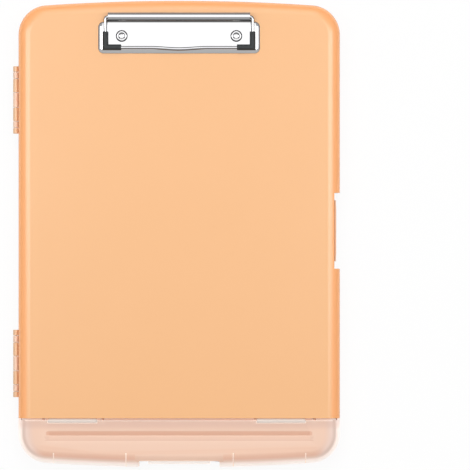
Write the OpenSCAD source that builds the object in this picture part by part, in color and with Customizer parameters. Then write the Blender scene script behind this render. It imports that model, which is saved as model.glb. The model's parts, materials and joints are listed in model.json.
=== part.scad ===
// Storage clipboard box: a flat case that opens like a book, with a wire clip on its lid
// and a pen compartment at its lower end, under a frosted lid of its own.
// The case lies on its back: +X to the right, +Y towards the clip, +Z up through the lid.

/* [Case] */
// Width of the two shells
case_w = 239; // [220:1:280]
// Length of the shells, down the middle
case_l = 347; // [330:1:400]
// Height of the base shell, up to the parting seam
base_h = 12.2; // [11.5:0.1:16]
// Height of the lids above the parting seam
lid_h = 9.8; // [9:0.1:14]
// Radius of the corners in plan
corner_r = 22; // [18:1:30]
// Radius of the gently bowed ends in plan
end_r = 1450; // [1000:10:3000]
// Thickness of the side walls
wall = 2.2; // [1.8:0.1:2.8]
// Thickness of the base's floor and of the main lid's top
plate_t = 2; // [1.5:0.1:2.5]
// Width in plan of the lids' rounded upper edge
top_round_w = 9.6; // [7:0.1:11]
// Height of the lids' rounded upper edge
top_round_h = 6.8; // [5:0.1:7.5]
// Rounding of the base's lower edge
bottom_round = 4.5; // [3:0.5:6]
// Gap between base and lids at the parting seam
seam_gap = 0.2; // [0.1:0.05:0.3]
// Height of the tongue that stands up from the base's rim into the lids
tongue_h = 1.3; // [0.8:0.1:2]
// Thickness of that tongue
tongue_t = 1; // [0.8:0.1:1.4]

/* [Main hinges] */
// Distance from the upper hinge's middle to the upper end of the case
upper_hinge_from_end = 73.7; // [64:0.1:95]
// Distance from the lower hinge's middle to the lower end of the case
lower_hinge_from_end = 77.2; // [69:0.1:95]
// Diameter of the hinge barrels
hinge_d = 4; // [3.6:0.1:4.4]
// Length of a hinge
hinge_l = 50.4; // [44:0.1:56]
// Length of the knuckle at each end of a hinge
end_knuckle_l = 4.4; // [3:0.1:6]
// Length of the knuckle next to each end one
second_knuckle_l = 5; // [3:0.1:6]
// Length of the knuckle on each side of the middle one
third_knuckle_l = 10.3; // [8:0.1:11]
// Diameter of the hinge pins
hinge_pin_d = 1.6; // [1.2:0.1:2]

/* [Latch] */
// Place of the latch along the case, from its middle
latch_y = 2.4; // [-30:0.1:30]
// Length of the notch in the right side
latch_notch_l = 56.3; // [50:0.1:66]
// Depth of that notch
latch_notch_d = 4.2; // [3.8:0.1:4.6]
// Length of the latch flap
latch_l = 45.4; // [36:0.1:46]
// Thickness of the latch flap
latch_t = 1.1; // [0.9:0.1:1.3]
// Height of the latch flap's top edge above the case's back
latch_top_z = 17.6; // [16.5:0.1:18.4]
// Diameter of the latch barrel
latch_barrel_d = 3; // [2.6:0.1:3.2]
// Diameter of the latch pin
latch_pin_d = 1.4; // [1:0.1:1.6]
// Height of the latch pin above the case's back
latch_pin_z = 3.8; // [3.6:0.1:4.2]

/* [Pen compartment] */
// Length of the pen compartment, from the lower end to the main lid
pen_bay_l = 36.7; // [33:0.1:44]
// Thickness of the pen lid's top
pen_lid_t = 1.8; // [1.4:0.1:2.2]
// Diameter of the pen lid's hinge knuckles
pen_knuckle_d = 3.3; // [3:0.1:3.3]
// Length of each knuckle
pen_knuckle_l = 42; // [30:0.5:50]
// Distance from each knuckle's middle to the side of the case
pen_knuckle_from_side = 41; // [39:0.5:55]
// Diameter of the pen lid's hinge pins
pen_pin_d = 1.5; // [1.2:0.1:1.7]
// Thickness of the posts that hold those pins
post_t = 1.6; // [1.4:0.1:2]
// Distance from the ends of the channel across the pen lid to the sides of the case
channel_from_side = 20.5; // [18:0.5:40]
// Width of the channel
channel_w = 6.9; // [5:0.1:8]
// Depth of the channel
channel_d = 0.8; // [0.4:0.1:1]
// Distance from the channel's middle to the lower end of the case
channel_from_end = 23.9; // [22:0.1:26]
// Distance from each snap tab's middle to the side of the case
snap_from_side = 52.6; // [50:0.1:57]
// Width of each snap tab, between the slits that free it
snap_w = 53.7; // [40:0.1:56]
// Width of the slits
slit_w = 1; // [0.6:0.1:1.4]
// Length of the slits, from the lower end of the case
slit_l = 11; // [9:0.1:13]
// Width of the finger notch in the lower end
finger_notch_w = 60; // [50:1:66]
// Depth of the finger notch
finger_notch_d = 4.8; // [4.2:0.1:5.4]
// Width of the lip that a fingertip lifts
lip_w = 46; // [36:1:48]
// Reach of the lip
lip_reach = 2.2; // [1.6:0.1:3]
// Thickness of the lip
lip_t = 1.4; // [1:0.1:2]

/* [Clip] */
// Width of the clip's plate
clip_w = 120; // [110:1:130]
// Length of the plate's flat part
clip_plate_l = 23.5; // [21:0.1:26]
// Height of the plate above the lid
clip_h = 1.4; // [1.2:0.1:2]
// Thickness of the plate's sheet
sheet_t = 0.9; // [0.6:0.1:1]
// Width of the plate's sloping border
border_w = 2.8; // [2:0.1:3.5]
// Radius of the plate's corners
clip_corner_r = 4; // [3.6:0.1:5]
// Distance from the clip to the upper end of the case
clip_margin = 9.2; // [8:0.1:12]
// Diameter of the rolled edge that holds the wire
roll_d = 6.8; // [6.2:0.1:7]
// Distance from each end of the rolled edge to the side of the plate
roll_inset = 7.3; // [7:0.1:10]
// Diameter of the wire
wire_d = 2.5; // [2:0.1:2.8]
// Radius of the bends where the wire leaves the roll
wire_bend_r = 1.9; // [1.5:0.1:3]
// Distance from the roll's middle to the wire's long bar
bail_reach = 22.5; // [20:0.1:24]
// Diameter of the grip sleeves
sleeve_d = 4; // [3.6:0.1:4.4]
// Length of each arm of a grip sleeve
sleeve_l = 11.7; // [9:0.1:13]
// Distance from each rivet to the side of the plate
rivet_from_side = 17.5; // [16:0.5:24]
// Distance from the roll's middle to the rivets
rivet_from_roll = 14; // [12:0.1:15]
// Diameter of the rivets' heads
rivet_head_d = 8.9; // [7:0.1:9]
// Thickness of the rivets' heads
rivet_head_t = 0.9; // [0.6:0.1:1.2]
// Diameter of the rivets' shanks
rivet_shank_d = 4.2; // [3.6:0.1:5]
// Diameter of the hole down each rivet
rivet_hole_d = 2.4; // [1.6:0.1:2.6]
// Diameter of the rivets' spread tails
rivet_tail_d = 6.4; // [5.6:0.1:7]
// Thickness of those tails
rivet_tail_t = 0.7; // [0.5:0.1:1]
// Diameter of the washers under the lid
washer_d = 9; // [8:0.1:10]
// Thickness of those washers
washer_t = 0.8; // [0.6:0.1:1]

/* [Hidden] */

peach = [0.97, 0.76, 0.57];
frosted = [0.95, 0.88, 0.83, 0.6];
chrome = [0.78, 0.78, 0.8];
steel = [0.62, 0.62, 0.64];
black = [0.12, 0.12, 0.13];

running = 0.05;      // radial clearance of a pin that turns in its knuckle
wire_fit = 0.1;      // radial clearance of the wire in the clip's roll
sleeve_gap = 0.05;   // gap between the grip sleeves and the clip's plate
side_gap = 0.3;      // gap between neighbouring knuckles, and beside a flap
post_gap = 0.2;      // gap between the pen lid's knuckles and the posts that hold them
barrel_gap = 0.15;   // gap between a barrel and the wall that turns past it
tongue_fit = 0.2;    // gap between the tongue and the lids' walls
lid_gap = 0.4;       // gap between the main lid and the pen lid's knuckles
catch_gap = 0.05;    // gap between the latch's bead and the lid's edge
flap_gap = 0.3;      // gap between the latch flap and the wall behind it
arm_margin = 0.3;    // how much an arm or a post is narrower than the barrel that it carries
tangent_step = 0.1;  // keeps a flat face off the line where it would only touch a barrel
bite = 0.5;          // how far a joined shape reaches into its neighbour
past = 1;            // how far a cut reaches past the surface that it leaves
$fn = 48;

corner_steps = 11;   // flats that each corner of the plan has
end_steps = 6;       // flats that each bowed end of the plan has
round_steps = 5;     // flats that each rounded edge has
square_edge = [0, 0]; // the rounding of an edge that is left square

case_h = base_h + lid_h;
base_top = base_h - seam_gap / 2;
lid_bottom = base_h + seam_gap / 2;
seam_y = pen_bay_l - case_l / 2;
right_x = case_w / 2;
lower_y = -case_l / 2;

hinge_x = -right_x - barrel_gap - hinge_d / 2;
upper_hinge_y = case_l / 2 - upper_hinge_from_end;
lower_hinge_y = lower_hinge_from_end - case_l / 2;
middle_knuckle_l = hinge_l - 2 * (end_knuckle_l + second_knuckle_l + third_knuckle_l);
knuckle_ls = [
    end_knuckle_l, second_knuckle_l, third_knuckle_l, middle_knuckle_l,
    third_knuckle_l, second_knuckle_l, end_knuckle_l
];

recess_x = right_x - latch_notch_d;
latch_in_x = recess_x + flap_gap;
latch_pin_x = recess_x - latch_barrel_d / 2 - barrel_gap;
pocket_x = latch_pin_x - latch_barrel_d / 2 - bite;
pocket_l = latch_l + 2 * side_gap;
barrel_room = 1.2;   // room above the latch's barrel
pocket_top = latch_pin_z + latch_barrel_d / 2 + barrel_room;
pin_seat_l = 2.5;    // how far the latch pin reaches into the base at each end
bead_r = 0.6;
bead_drop = 2;       // distance from the latch flap's top edge down to its bead
bead_z = latch_top_z - bead_drop;

knuckle_sink = 0.05; // how far the pen lid's knuckles lie below its face
rear_reach = 0.5;    // how far the pen lid's rear edge lies behind its hinge axis
web_reach = 1.2;     // how far in front of that axis the lid's top starts along the knuckles
pen_axis_y = seam_y - lid_gap - pen_knuckle_d / 2;
pen_axis_z = case_h - pen_knuckle_d / 2 - knuckle_sink;
pen_knuckle_x = right_x - pen_knuckle_from_side;
post_l = pen_knuckle_d - arm_margin;
pen_post_xs = [pen_knuckle_l / 2 + post_gap, -pen_knuckle_l / 2 - post_gap - post_t];
channel_l = case_w - 2 * channel_from_side;
channel_rib = 1.2;   // width of the rib around the channel, under the pen lid
snap_x = right_x - snap_from_side;

roll_l = clip_w - 2 * roll_inset;
roll_y = case_l / 2 - clip_margin - roll_d / 2;
clip_top_y = roll_y - roll_d / 2;
rim_t = 0.2;         // height of the plate's rim, below its sloping border
tail_lift = 0.3;     // height above the lid of the sheet that runs from the plate into the roll
wire_z = case_h + clip_h + sleeve_gap + sleeve_d / 2;
long_bar_y = roll_y - bail_reach;
leg_gap = roll_l + 2 * wire_bend_r;
rivet_gap = clip_w - 2 * rivet_from_side;
rivet_y = roll_y - rivet_from_roll;

// Plan of the case, counter-clockwise, moved inwards by inset: four corner arcs and two bowed ends.
function outline(inset) =
    let (
        corner_x = case_w / 2 - corner_r,
        end_y = case_l / 2 - end_r,
        corner_y = end_y + sqrt(pow(end_r - corner_r, 2) - pow(corner_x, 2)),
        meet = atan2(corner_y - end_y, corner_x),
        r = corner_r - inset,
        corner = [for (i = [0:corner_steps]) let (a = meet * i / corner_steps) r * [cos(a), sin(a)]],
        right = [for (p = corner) [corner_x + p.x, corner_y + p.y]],
        left = [for (i = [corner_steps:-1:0]) [-right[i].x, right[i].y]],
        end = [for (i = [1:end_steps - 1]) let (a = meet + (180 - 2 * meet) * i / end_steps)
            [(end_r - inset) * cos(a), end_y + (end_r - inset) * sin(a)]],
        half = concat(right, end, left)
    )
    concat(half, [for (p = half) -p]);

// Insets and heights along one rounded edge, from the vertical wall to the flat face.
// round is the edge's width in plan and its height.
function edge_rings(inset, z, round, up) = round == square_edge ? [[inset, z]] : [
    for (i = [0:round_steps]) let (a = 90 * i / round_steps)
        [inset + round[0] * (1 - cos(a)), z - up * round[1] * (1 - sin(a))]
];

// The rounding inside an edge, under a wall and a floor or top of thickness t.
function inner_round(w, h, t) = [w - wall, h - t];

// A solid with the case's plan from low to high, with its two edges rounded.
module plan_block(inset, low, high, low_round, high_round) {
    low_rings = edge_rings(inset, low, low_round, -1);
    rings = concat(
        [for (i = [len(low_rings) - 1:-1:0]) low_rings[i]],
        edge_rings(inset, high, high_round, 1)
    );
    n = len(outline(0));
    points = [for (ring = rings) for (p = outline(ring[0])) [p.x, p.y, ring[1]]];
    sides = [
        for (k = [0:len(rings) - 2]) for (i = [0:n - 1]) let (j = (i + 1) % n)
            [k * n + i, k * n + n + i, k * n + n + j, k * n + j]
    ];
    bottom = [for (i = [0:n - 1]) i];
    top = [for (i = [n - 1:-1:0]) (len(rings) - 1) * n + i];
    polyhedron(points = points, faces = concat([bottom, top], sides));
}

// A box between two opposite corners.
module box(low, high) {
    translate(low) cube(high - low);
}

// A rod along X or along Y, from one end to the other.
module rod_x(from, to, y, z, d) {
    translate([from, y, z]) rotate([0, 90, 0]) cylinder(d = d, h = to - from);
}

module rod_y(from, to, x, z, d) {
    translate([x, to, z]) rotate([90, 0, 0]) cylinder(d = d, h = to - from);
}

// The notch in the right side, deepened by more so that the wall can follow it inside.
module latch_notch(more) {
    half = latch_notch_l / 2 + more;
    box([recess_x - more, latch_y - half, -past], [right_x + past, latch_y + half, case_h + past]);
}

// The pocket under that notch that the latch's barrel turns in.
module latch_pocket(more, ends) {
    half = pocket_l / 2 + ends;
    box([pocket_x - more, latch_y - half, -past], [right_x + past, latch_y + half, pocket_top + more]);
}

// The finger notch in the lower end.
module finger_notch(more) {
    half = finger_notch_w / 2 + more;
    box([-half, lower_y - past, -past], [half, lower_y + finger_notch_d + more, case_h + past]);
}

// Every space where the tongue has to stop.
module tongue_stops() {
    latch_notch(wall + tongue_t);
    finger_notch(wall + tongue_t);
    box([-case_w, pen_axis_y - pen_knuckle_d, 0], [case_w, seam_y + wall + tongue_fit, case_h]);
}

module tongue_ring(outer_inset, low, high) {
    difference() {
        translate([0, 0, low]) linear_extrude(high - low) difference() {
            polygon(outline(outer_inset));
            polygon(outline(wall + tongue_fit + tongue_t));
        }
        tongue_stops();
    }
}

// The knuckles of one hinge that belong to the lid (first = 0) or to the base (first = 1).
module knuckles(y, first, side, bore_d) {
    low = base_h + (side > 0 ? seam_gap / 2 : arm_margin - hinge_d / 2);
    high = base_h + (side > 0 ? hinge_d / 2 - arm_margin : -seam_gap / 2);
    starts = [
        for (i = 0, at = y - hinge_l / 2; i < len(knuckle_ls); at = at + knuckle_ls[i], i = i + 1)
            at
    ];
    difference() {
        for (i = [first:2:len(knuckle_ls) - 1]) {
            from = starts[i] + side_gap / 2;
            to = starts[i] + knuckle_ls[i] - side_gap / 2;
            rod_y(from, to, hinge_x, base_h, hinge_d);
            box([hinge_x, from, low], [bite - right_x, to, high]);
        }
        rod_y(y - hinge_l, y + hinge_l, hinge_x, base_h, bore_d);
    }
}

// The posts on the base that hold the pen lid's hinge pins.
module pen_posts(side) {
    low_y = pen_axis_y - post_l / 2;
    high_y = pen_axis_y + post_l / 2;
    for (x = pen_post_xs) {
        from = side * pen_knuckle_x + x;
        to = from + post_t;
        box([from, low_y, plate_t - bite], [to, seam_y + bite, base_top - bite]);
        box([from, low_y, base_top - past], [to, high_y, pen_axis_z]);
        rod_x(from, to, pen_axis_y, pen_axis_z, pen_knuckle_d);
    }
}

module base_tray() {
    color(peach) difference() {
        union() {
            difference() {
                plan_block(0, 0, base_top, [bottom_round, bottom_round], square_edge);
                difference() {
                    plan_block(wall, plate_t, base_top + past,
                        inner_round(bottom_round, bottom_round, plate_t), square_edge);
                    box([-case_w, seam_y, 0], [case_w, seam_y + wall, case_h]);
                    latch_notch(wall);
                    latch_pocket(wall, pin_seat_l + wall);
                    finger_notch(wall);
                }
            }
            tongue_ring(wall - bite, base_top - tongue_h - tongue_t, base_top - seam_gap);
            tongue_ring(wall + tongue_fit, base_top - past, base_top + tongue_h);
            pen_posts(-1);
            pen_posts(1);
        }
        latch_notch(0);
        latch_pocket(0, 0);
        finger_notch(0);
        rod_y(latch_y - pocket_l / 2 - pin_seat_l, latch_y + pocket_l / 2 + pin_seat_l,
            latch_pin_x, latch_pin_z, latch_pin_d);
        rod_x(-case_w / 2, case_w / 2, pen_axis_y, pen_axis_z, pen_pin_d);
    }
    color(peach) {
        knuckles(upper_hinge_y, 1, -1, hinge_pin_d);
        knuckles(lower_hinge_y, 1, -1, hinge_pin_d);
    }
}

module main_lid() {
    color(peach) {
        difference() {
            plan_block(0, lid_bottom, case_h, square_edge, [top_round_w, top_round_h]);
            difference() {
                plan_block(wall, lid_bottom - past, case_h - plate_t, square_edge,
                    inner_round(top_round_w, top_round_h, plate_t));
                box([-case_w, -case_l, 0], [case_w, seam_y + wall, case_h]);
                latch_notch(wall);
            }
            box([-case_w, -case_l, 0], [case_w, seam_y, case_h + past]);
            latch_notch(0);
            box([recess_x - bite, latch_y - pocket_l / 2, bead_z - bead_r],
                [right_x + past, latch_y + pocket_l / 2, bead_z + bead_r]);
            for (x = [-rivet_gap / 2, rivet_gap / 2])
                translate([x, rivet_y, base_h]) cylinder(d = rivet_shank_d, h = lid_h + past);
        }
        knuckles(upper_hinge_y, 0, 1, hinge_pin_d + 2 * running);
        knuckles(lower_hinge_y, 0, 1, hinge_pin_d + 2 * running);
    }
}

// The channel's plan, grown by more.
module channel_plan(more) {
    w = channel_w + 2 * more;
    translate([0, lower_y + channel_from_end]) {
        square([channel_l - channel_w, w], center = true);
        for (x = [-1, 1] * (channel_l - channel_w) / 2)
            translate([x, 0]) circle(d = w);
    }
}

module pen_lid() {
    rear_y = pen_axis_y + rear_reach;
    web_y = pen_axis_y - web_reach;
    color(frosted) difference() {
        union() {
            difference() {
                plan_block(0, lid_bottom, case_h, square_edge, [top_round_w, top_round_h]);
                difference() {
                    plan_block(wall, lid_bottom - past, case_h - pen_lid_t, square_edge,
                        inner_round(top_round_w, top_round_h, pen_lid_t));
                    finger_notch(wall);
                }
                box([-case_w, rear_y, 0], [case_w, case_l, case_h + past]);
                for (middle = [-pen_knuckle_x, pen_knuckle_x]) {
                    reach = pen_knuckle_l / 2 + post_gap + post_t + side_gap;
                    box([middle - reach, web_y, 0], [middle + reach, case_l, case_h + past]);
                    for (x = pen_post_xs)
                        box([middle + x - side_gap, pen_axis_y - pen_knuckle_d / 2 - side_gap, 0],
                            [middle + x + post_t + side_gap, case_l, case_h + past]);
                }
                finger_notch(0);
            }
            translate([0, 0, case_h - pen_lid_t - channel_d])
                linear_extrude(channel_d + bite) channel_plan(channel_rib);
            for (middle = [-pen_knuckle_x, pen_knuckle_x]) {
                from = middle - pen_knuckle_l / 2;
                rod_x(from, from + pen_knuckle_l, pen_axis_y, pen_axis_z, pen_knuckle_d);
            }
            box([-lip_w / 2, lower_y + finger_notch_d - lip_reach, lid_bottom],
                [lip_w / 2, lower_y + finger_notch_d + bite, lid_bottom + lip_t]);
        }
        translate([0, 0, case_h - channel_d]) linear_extrude(channel_d + past) channel_plan(0);
        rod_x(-case_w, case_w, pen_axis_y, pen_axis_z, pen_pin_d + 2 * running);
        for (side = [-1, 1], edge = [-1, 1]) {
            x = side * snap_x + edge * (snap_w + slit_w) / 2;
            box([x - slit_w / 2, lower_y - past, 0], [x + slit_w / 2, lower_y + slit_l, case_h + past]);
        }
    }
}

module latch_flap() {
    from = latch_y - latch_l / 2;
    to = latch_y + latch_l / 2;
    out_x = latch_in_x + latch_t;
    low = latch_pin_z - latch_barrel_d / 2;
    color(peach) difference() {
        union() {
            rod_y(from, to, latch_pin_x, latch_pin_z, latch_barrel_d);
            box([latch_pin_x, from, low + tangent_step], [out_x, to, low + latch_t]);
            box([latch_in_x, from, low + tangent_step], [out_x, to, latch_top_z]);
            rod_y(from, to, recess_x + catch_gap + bead_r, bead_z, 2 * bead_r);
        }
        rod_y(from - past, to + past, latch_pin_x, latch_pin_z, latch_pin_d + 2 * running);
    }
}

module hinge_pin(y) {
    half = hinge_l / 2 - bite;
    color(steel) rod_y(y - half, y + half, hinge_x, base_h, hinge_pin_d);
}

module upper_hinge_pin() {
    hinge_pin(upper_hinge_y);
}

module lower_hinge_pin() {
    hinge_pin(lower_hinge_y);
}

module latch_pin() {
    half = pocket_l / 2 + pin_seat_l;
    color(steel) rod_y(latch_y - half, latch_y + half, latch_pin_x, latch_pin_z, latch_pin_d);
}

module pen_hinge_pin(side) {
    half = pen_knuckle_l / 2 + post_gap + post_t;
    middle = side * pen_knuckle_x;
    color(steel) rod_x(middle - half, middle + half, pen_axis_y, pen_axis_z, pen_pin_d);
}

module left_pen_hinge_pin() {
    pen_hinge_pin(-1);
}

module right_pen_hinge_pin() {
    pen_hinge_pin(1);
}

// The plate's outline, moved inwards by inset, as a thin slab from low to high.
module plate_slab(inset, low, high) {
    x = clip_w / 2 - clip_corner_r;
    y = clip_plate_l / 2 - clip_corner_r;
    for (sx = [-x, x], sy = [-y, y])
        translate([sx, clip_top_y - clip_plate_l / 2 + sy, low])
            cylinder(r = clip_corner_r - inset, h = high - low, $fn = 32);
}

// The stamped plate as a closed form, lowered by drop and moved inwards by inset.
module plate_form(inset, drop) {
    hull() {
        plate_slab(inset, case_h - drop, case_h - drop + rim_t);
        plate_slab(inset + border_w, case_h - drop + rim_t, case_h + clip_h - drop);
    }
}

module clip_plate() {
    color(chrome) difference() {
        union() {
            difference() {
                plate_form(0, 0);
                plate_form(sheet_t, sheet_t);
            }
            box([-roll_l / 2, clip_top_y - border_w, case_h + tail_lift],
                [roll_l / 2, roll_y, case_h + tail_lift + sheet_t]);
            rod_x(-roll_l / 2, roll_l / 2, roll_y, wire_z, roll_d);
        }
        rod_x(-case_w, case_w, roll_y, wire_z, wire_d + 2 * wire_fit);
        for (x = [-rivet_gap / 2, rivet_gap / 2])
            translate([x, rivet_y, base_h]) cylinder(d = rivet_shank_d, h = case_h);
    }
}

// A square corner of round bar: one arm runs towards the other side and one towards the roll.
module square_corner(side, arm_x, arm_y, d) {
    x = side * leg_gap / 2;
    x_ends = [x, x - side * arm_x];
    rod_x(min(x_ends), max(x_ends), long_bar_y, wire_z, d);
    rod_y(long_bar_y, long_bar_y + arm_y, x, wire_z, d);
    intersection() {
        rod_x(x - d, x + d, long_bar_y, wire_z, d);
        rod_y(long_bar_y - d, long_bar_y + d, x, wire_z, d);
    }
}

module clip_wire() {
    top_half = leg_gap / 2 - wire_bend_r;
    color(chrome) {
        rod_x(-top_half, top_half, roll_y, wire_z, wire_d);
        for (side = [-1, 1]) {
            translate([side * top_half, roll_y - wire_bend_r, wire_z])
                mirror([side < 0 ? 1 : 0, 0, 0])
                    rotate_extrude(angle = 90) translate([wire_bend_r, 0]) circle(d = wire_d);
            square_corner(side, leg_gap / 2 + bite, roll_y - wire_bend_r - long_bar_y, wire_d);
        }
    }
}

module grip_sleeve(side) {
    color(black) difference() {
        square_corner(side, sleeve_l, sleeve_l, sleeve_d);
        square_corner(side, sleeve_l + past, sleeve_l + past, wire_d);
    }
}

module left_grip_sleeve() {
    grip_sleeve(-1);
}

module right_grip_sleeve() {
    grip_sleeve(1);
}

module clip_rivets() {
    tail_z = case_h - plate_t - washer_t - rivet_tail_t;
    head_z = case_h + clip_h;
    color(steel) for (x = [-rivet_gap / 2, rivet_gap / 2])
        translate([x, rivet_y, 0]) difference() {
            union() {
                translate([0, 0, head_z]) cylinder(d = rivet_head_d, h = rivet_head_t);
                translate([0, 0, tail_z]) cylinder(d = rivet_shank_d, h = head_z - tail_z + bite);
                translate([0, 0, tail_z]) cylinder(d = rivet_tail_d, h = rivet_tail_t);
            }
            cylinder(d = rivet_hole_d, h = 2 * case_h);
        }
}

module rivet_washers() {
    color(steel) for (x = [-rivet_gap / 2, rivet_gap / 2])
        translate([x, rivet_y, case_h - plate_t - washer_t]) difference() {
            cylinder(d = washer_d, h = washer_t);
            translate([0, 0, -past]) cylinder(d = rivet_shank_d, h = washer_t + 2 * past);
        }
}

base_tray();
main_lid();
pen_lid();
latch_flap();
upper_hinge_pin();
lower_hinge_pin();
latch_pin();
left_pen_hinge_pin();
right_pen_hinge_pin();
clip_plate();
clip_wire();
left_grip_sleeve();
right_grip_sleeve();
clip_rivets();
rivet_washers();
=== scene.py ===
"""Storage clipboard box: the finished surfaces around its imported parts, in metres."""
import json
from math import asin, atan2, cos, hypot, pi, radians, sin, sqrt

import bmesh
import bpy
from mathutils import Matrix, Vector


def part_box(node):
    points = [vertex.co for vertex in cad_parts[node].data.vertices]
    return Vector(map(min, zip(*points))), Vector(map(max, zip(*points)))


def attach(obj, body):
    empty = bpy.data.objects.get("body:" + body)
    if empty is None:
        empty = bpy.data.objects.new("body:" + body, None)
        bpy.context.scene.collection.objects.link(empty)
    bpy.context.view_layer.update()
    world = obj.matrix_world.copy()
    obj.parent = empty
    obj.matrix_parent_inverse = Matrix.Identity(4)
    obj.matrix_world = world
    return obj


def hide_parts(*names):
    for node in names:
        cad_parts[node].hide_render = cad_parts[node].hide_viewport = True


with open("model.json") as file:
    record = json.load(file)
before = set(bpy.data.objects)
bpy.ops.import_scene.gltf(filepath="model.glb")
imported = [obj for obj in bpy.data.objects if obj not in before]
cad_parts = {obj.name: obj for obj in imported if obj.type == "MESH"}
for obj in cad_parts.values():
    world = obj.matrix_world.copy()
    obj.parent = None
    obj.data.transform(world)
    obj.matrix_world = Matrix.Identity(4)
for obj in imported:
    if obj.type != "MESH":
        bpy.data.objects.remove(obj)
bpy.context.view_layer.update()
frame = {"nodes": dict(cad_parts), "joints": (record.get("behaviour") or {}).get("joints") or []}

# ---------- sizes
MM = 0.001
CORNER_R = 22 * MM  # corners of the case's plan
END_R = 1450 * MM  # bow of its two ends
WALL = 2.2 * MM
PLATE_T = 2 * MM  # top of the main lid and floor of the tray
PEN_LID_T = 1.8 * MM
LID_ROUND_W = 9.6 * MM  # rounded edge of both lids, in plan
LID_ROUND_H = 6.8 * MM  # and in height
TRAY_ROUND = 4.5 * MM
SEAM_GAP = 0.2 * MM
TONGUE_H = 1.3 * MM
TONGUE_T = 1 * MM
TONGUE_FIT = 0.2 * MM
BITE = 0.5 * MM  # how far a joined form reaches into its neighbour
PAST = 1 * MM  # how far a cutting form reaches past a surface

SOFT_EDGE = 0.3 * MM  # softened edges: of the shells,
SMALL_EDGE = 0.25 * MM  # of knuckles, latch and sleeves,
FINE_EDGE = 0.2 * MM  # of the lip, the flanges and small bars,
THIN_EDGE = 0.15 * MM  # and of posts, tongue and rolled sheet

KNUCKLE_LS = [4.4 * MM, 5 * MM, 10.3 * MM, 11 * MM, 10.3 * MM, 5 * MM, 4.4 * MM]
KNUCKLE_GAP = 0.3 * MM
TRAY_ARM_UP = 0.3 * MM  # underside of the tray's hinge arms, above the knuckles' lowest point
LID_ARM_T = 0.6 * MM  # top of the lid's hinge arms, above the axis

LATCH_NOTCH_L = 56.3 * MM
LATCH_NOTCH_D = 4.2 * MM
LATCH_T = 1.1 * MM
LATCH_END_T = 0.5 * MM  # the flap's thinned ends
LATCH_TAPER = 7 * MM  # and their length
LATCH_BARREL_R = 1.5 * MM
LATCH_FOOT_UP = 0.1 * MM  # foot of the flap, above the barrel's lowest point
LATCH_BEAD_R = 0.6 * MM
LATCH_BEAD_DROP = 2 * MM
LATCH_BEAD_GAP = 0.05 * MM
LATCH_SEAT = 2.5 * MM  # plastic around each end of the latch's pin
LEDGE_DOWN = 0.15 * MM  # ledge behind the flap's upper edge
LEDGE_GAP = 0.12 * MM
POCKET_ROOM = 1.2 * MM  # room above the latch's barrel
POCKET_SIDE = 0.3 * MM

FINGER_NOTCH_W = 60 * MM
FINGER_NOTCH_D = 4.8 * MM
NOTCH_CORNER_R = 1.2 * MM
NOTCH_MARGIN = 0.1 * MM  # softened edge beside the notch
LIP_W = 46 * MM
LIP_REACH = 2.4 * MM
LIP_T = 1.4 * MM

PEN_KNUCKLE_R = 1.65 * MM
PEN_KNUCKLE_L = 42 * MM  # between the posts
PEN_BAR_L = 36 * MM  # grey bar on each knuckle
PEN_BAR_SHIFTS = {-1: -0.65 * MM, 1: -2.8 * MM}  # of each side's bar, from the middle between its posts
PEN_BAR_EDGE = 0.05 * MM
FIN_LOW = 0.1 * MM  # thin fin behind each bar, up to the main lid
FIN_T = 0.5 * MM
POST_GAP = 0.2 * MM
POST_T = 1.6 * MM
POST_HEAD_R = 1.2 * MM
POST_ROOM = 0.1 * MM
HEEL_DOWN = 1 * MM  # the post's heel stays below the opened pen lid
REAR_REACH = 0.5 * MM
WEB_REACH = 1.2 * MM
FLANGE_GAP = 0.15 * MM  # around the pen lid's rear flanges
FLANGE_DOWN = 0.3 * MM  # their underside and their top, from the hinge's axis
FLANGE_UP = 0.9 * MM
FLANGE_RIM = 0.6 * MM  # their rim, above the other rim
CHANNEL_W = 6.9 * MM
CHANNEL_DEEP = 1.6 * MM
CHANNEL_FLOOR = 0.04 * MM  # flat bottom of its V
CHANNEL_FROM_SIDE = 19.3 * MM
CHANNEL_FROM_END = 23.9 * MM
CHANNEL_RIB = 1.2 * MM
CHANNEL_RIB_DEEP = 0.8 * MM
SLIT_W = 0.2 * MM
SLIT_L = 10.7 * MM
SLIT_PITCH = 53.7 * MM  # between the two slits of a snap tab
SNAP_FROM_SIDE = 52.8 * MM
SNAP_SHIFT = 0.4 * MM

PLATE_L = 23.5 * MM
PLATE_CORNER_R = 4 * MM
PLATE_BORDER = 3.3 * MM
PLATE_RIM = 0.3 * MM
PLATE_EDGE = 0.08 * MM
BORDER_START = asin(0.75)  # its curve meets the rim at about 45 degrees
ROLL_R = 3.4 * MM
ROLL_INSET = 7.3 * MM
ROLL_TAB = 0.5 * MM  # the roll's front reaches this much further at each end
ROLL_STEPS = 48
TAB_STEPS = 10  # of these, in that wider part
COVE_R = 0.7 * MM
COVE_STEPS = 10
LEAD_L = 0.8 * MM  # flat lead of the rolled sheet, which dips into the plate
LEAD_DIP = 0.03 * MM
SHEET_T = 0.8 * MM
WIRE_R = 1.25 * MM
WIRE_BEND_R = 1.9 * MM
BAR_DIP = 1 * MM  # middle of the bail's long bar, towards the hand
BAR_DIP_HALF = 21 * MM
BAR_SAG = 0.25 * MM  # the bar runs this much lower than its corners
SLEEVE_R = 2.2 * MM
SLEEVE_L = 11.7 * MM
SLEEVE_FIT = 0.02 * MM
SLEEVE_GAP = 0.05 * MM  # under the sleeves, which are pressed flat there
RIVET_HEAD_R = 4.45 * MM
RIVET_HEAD_T = 0.9 * MM
RIVET_SKIRT = 1.1 * MM  # sloping rim of the head
RIVET_SKIRT_DROP = 0.12 * MM
RIVET_DISH_R = 2.55 * MM  # dish in the middle of the head
RIVET_DISH_SLOPE = 0.8 * MM
RIVET_DISH_DEEP = 0.7 * MM
RIVET_EDGE = 0.12 * MM
RIVET_SHANK_R = 2.1 * MM
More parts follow.
